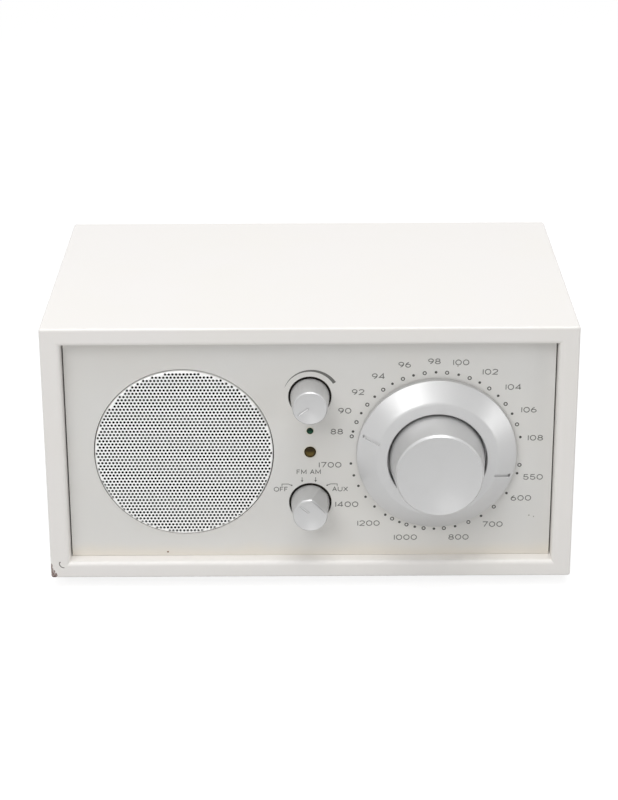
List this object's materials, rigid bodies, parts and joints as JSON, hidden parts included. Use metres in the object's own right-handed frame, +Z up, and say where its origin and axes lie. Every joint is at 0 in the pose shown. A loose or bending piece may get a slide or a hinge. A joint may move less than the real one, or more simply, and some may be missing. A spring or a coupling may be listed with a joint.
{
  "type": "table radio",
  "caption": "Table radio in a white lacquered wooden cabinet, with a recessed face plate, a round speaker grille, small knobs and a large geared tuning dial.",
  "frame": {"origin": "middle of the overall width and depth, on the surface that the feet stand on", "axes": "+X to the right of a person facing the dial, +Y from the face plate to the rear panel, +Z up"},
  "size_m": [0.213, 0.151, 0.1143],
  "materials": {
    "white_lacquer": "semi-gloss white lacquer over wood fibre board",
    "fibreboard": "bare wood fibre board",
    "plate_paint": "satin pale grey paint",
    "grille_paint": "satin white paint on perforated sheet",
    "silver_aluminium": "fine blasted, clear anodised",
    "steel": "bright zinc-plated",
    "dark_steel": "blued laminations",
    "nickel": "nickel-plated",
    "brass": "turned",
    "black_rubber": "matt",
    "black_plastic": "moulded, fine grain",
    "black_board": "black painted fibre board",
    "natural_acetal": "moulded gear plastic",
    "ferrite": "sintered",
    "paper": "pressed paper pulp",
    "spider_cloth": "resin-stiffened cloth",
    "copper": "enamelled winding",
    "circuit_board": "solder resist over glass cloth",
    "green_lens": "clear tinted, unlit",
    "amber_lens": "clear tinted, unlit",
    "can_sleeve": "shrink sleeve"
  },
  "bodies": {
    "chassis": {"cabinet": "white_lacquer", "faceplate": "plate_paint", "baffle": "fibreboard", "rear_panel": "black_board", "rubber_feet": "black_rubber", "case_screws": "steel", "bass_port": "black_plastic", "speaker_grille": "grille_paint", "speaker_basket": "steel", "speaker_top_plate": "steel", "speaker_magnet": "ferrite", "speaker_pole": "steel", "speaker_surround": "black_rubber", "speaker_spider": "spider_cloth", "speaker_screws": "steel", "volume_control": "black_plastic", "selector_switch": "black_plastic", "control_nuts": "nickel", "power_led": "green_lens", "tuning_led": "amber_lens", "front_board": "circuit_board", "annulus_gear": "natural_acetal", "gear_cover": "natural_acetal", "gearbox_screws": "steel", "capacitor_frame": "silver_aluminium", "capacitor_stator": "silver_aluminium", "main_board": "circuit_board", "board_standoffs": "natural_acetal", "board_capacitors": "can_sleeve", "heat_sink": "silver_aluminium", "transformer_core": "dark_steel", "transformer_coil": "copper", "transformer_strap": "steel", "ferrite_rod": "ferrite", "aerial_winding": "copper", "rod_holders": "natural_acetal", "aerial_socket": "nickel", "aerial_terminals": "brass", "aerial_switch": "black_plastic", "sound_sockets": "black_plastic", "power_socket": "black_plastic", "cord_gland": "black_plastic"},
    "volume": {"volume_knob": "silver_aluminium", "volume_shaft": "steel"},
    "selector": {"selector_knob": "silver_aluminium", "selector_shaft": "steel"},
    "dial": {"dial_ring": "silver_aluminium", "planet_carrier": "silver_aluminium", "carrier_back_plate": "silver_aluminium", "planet_pins": "steel", "capacitor_rotor": "silver_aluminium"},
    "tuner": {"tuning_knob": "silver_aluminium", "tuning_shaft": "steel"},
    "planet_1": {"planet_gear_1": "natural_acetal"},
    "planet_2": {"planet_gear_2": "natural_acetal"},
    "planet_3": {"planet_gear_3": "natural_acetal"},
    "cone": {"speaker_cone": "paper", "dust_cap": "paper", "voice_coil": "copper"},
    "slider": {"switch_slider": "black_plastic"}
  },
  "joints": [
    {"name": "volume_turn", "type": "hinge", "parent": "chassis", "child": "volume", "pos_m": [0, -0.05195, 0.0826], "axis": [0, -1, 0], "range_deg": [-300, 0]},
    {"name": "selector_turn", "type": "hinge", "parent": "chassis", "child": "selector", "pos_m": [0, -0.05195, 0.0358], "axis": [0, -1, 0], "range_deg": [-90, 0]},
    {"name": "dial_turn", "type": "hinge", "parent": "chassis", "child": "dial", "pos_m": [0.051, -0.05195, 0.0582], "axis": [0, -1, 0], "range_deg": [-157, 4]},
    {"name": "knob_turn", "type": "hinge", "parent": "chassis", "child": "tuner", "pos_m": [0.051, -0.05195, 0.0582], "axis": [0, -1, 0], "range_deg": [-785, 20]},
    {"name": "planet_1_spin", "type": "hinge", "parent": "dial", "child": "planet_1", "pos_m": [0.063, -0.04495, 0.0582], "axis": [0, -1, 0], "range_deg": [-11, 419]},
    {"name": "planet_2_spin", "type": "hinge", "parent": "dial", "child": "planet_2", "pos_m": [0.045, -0.04495, 0.06859], "axis": [0, -1, 0], "range_deg": [-11, 419]},
    {"name": "planet_3_spin", "type": "hinge", "parent": "dial", "child": "planet_3", "pos_m": [0.045, -0.04495, 0.04781], "axis": [0, -1, 0], "range_deg": [-11, 419]},
    {"name": "cone_travel", "type": "slide", "parent": "chassis", "child": "cone", "axis": [0, -1, 0], "range_m": [-0.0015, 0.0015], "stiffness_N_per_m": 1000, "deforming": ["speaker_surround", "speaker_spider"]},
    {"name": "aerial_switch_slide", "type": "slide", "parent": "chassis", "child": "slider", "axis": [-1, 0, 0], "range_m": [0, 0.004]}
  ],
  "couplings": [
    {"joint": "knob_turn", "follows": "dial_turn", "ratio": 5},
    {"joint": "planet_1_spin", "follows": "dial_turn", "ratio": -2.6667},
    {"joint": "planet_2_spin", "follows": "dial_turn", "ratio": -2.6667},
    {"joint": "planet_3_spin", "follows": "dial_turn", "ratio": -2.6667}
  ]
}
